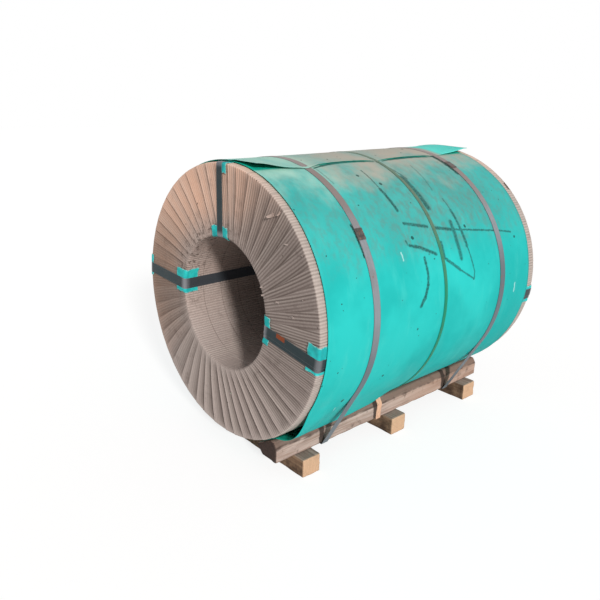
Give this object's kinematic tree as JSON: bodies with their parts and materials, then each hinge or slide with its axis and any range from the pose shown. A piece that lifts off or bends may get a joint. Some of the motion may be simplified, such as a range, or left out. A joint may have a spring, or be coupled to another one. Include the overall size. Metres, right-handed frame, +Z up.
{
  "type": "steel coil",
  "caption": "Steel strip coil in pleated paper and a turquoise cover sheet, strapped through its eye and on to a timber skid.",
  "frame": {"origin": "on the floor under the middle of the coil", "axes": "+Y along the coil's axis towards its back end, +X to the right seen from the front, +Z up"},
  "size_m": [1.0436, 1.2734, 1.12],
  "materials": {
    "strip_steel": "plain mill finish, hidden under the wrap",
    "crepe_paper": "matt pleated crepe",
    "turquoise_sheet": "dull plastic sheet, dusty on top",
    "eye_strap": "blued steel strap, half dull",
    "corner_pad": "dull plastic",
    "steel_band": "dull grey steel strap",
    "seal_steel": "dark crimped seal",
    "plastic_band": "green plastic strap",
    "runner_wood": "rough sawn, weathered",
    "cross_wood": "rough sawn",
    "tie_strip": "tan strip"
  },
  "bodies": {
    "root": {"steel_coil": "strip_steel", "paper_wrap": "crepe_paper", "cover_sheet": "turquoise_sheet", "eye_strap_top": "eye_strap", "eye_strap_left": "eye_strap", "eye_strap_right": "eye_strap", "eye_strap_right_double": "eye_strap", "pad_top_front_rim": "corner_pad", "pad_top_front_bore": "corner_pad", "pad_top_back_rim": "corner_pad", "pad_top_back_bore": "corner_pad", "pad_left_front_rim": "corner_pad", "pad_left_front_bore": "corner_pad", "pad_left_back_rim": "corner_pad", "pad_left_back_bore": "corner_pad", "pad_right_front_rim": "corner_pad", "pad_right_front_bore": "corner_pad", "pad_right_back_rim": "corner_pad", "pad_right_back_bore": "corner_pad", "steel_band_front": "steel_band", "steel_band_back": "steel_band", "plastic_band": "plastic_band", "seal_front": "seal_steel", "seal_back": "seal_steel", "runner_left": "runner_wood", "runner_right": "runner_wood", "runner_tie": "tie_strip", "cross_timber_front": "cross_wood", "cross_timber_middle": "cross_wood", "cross_timber_back": "cross_wood"}
  },
  "joints": []
}
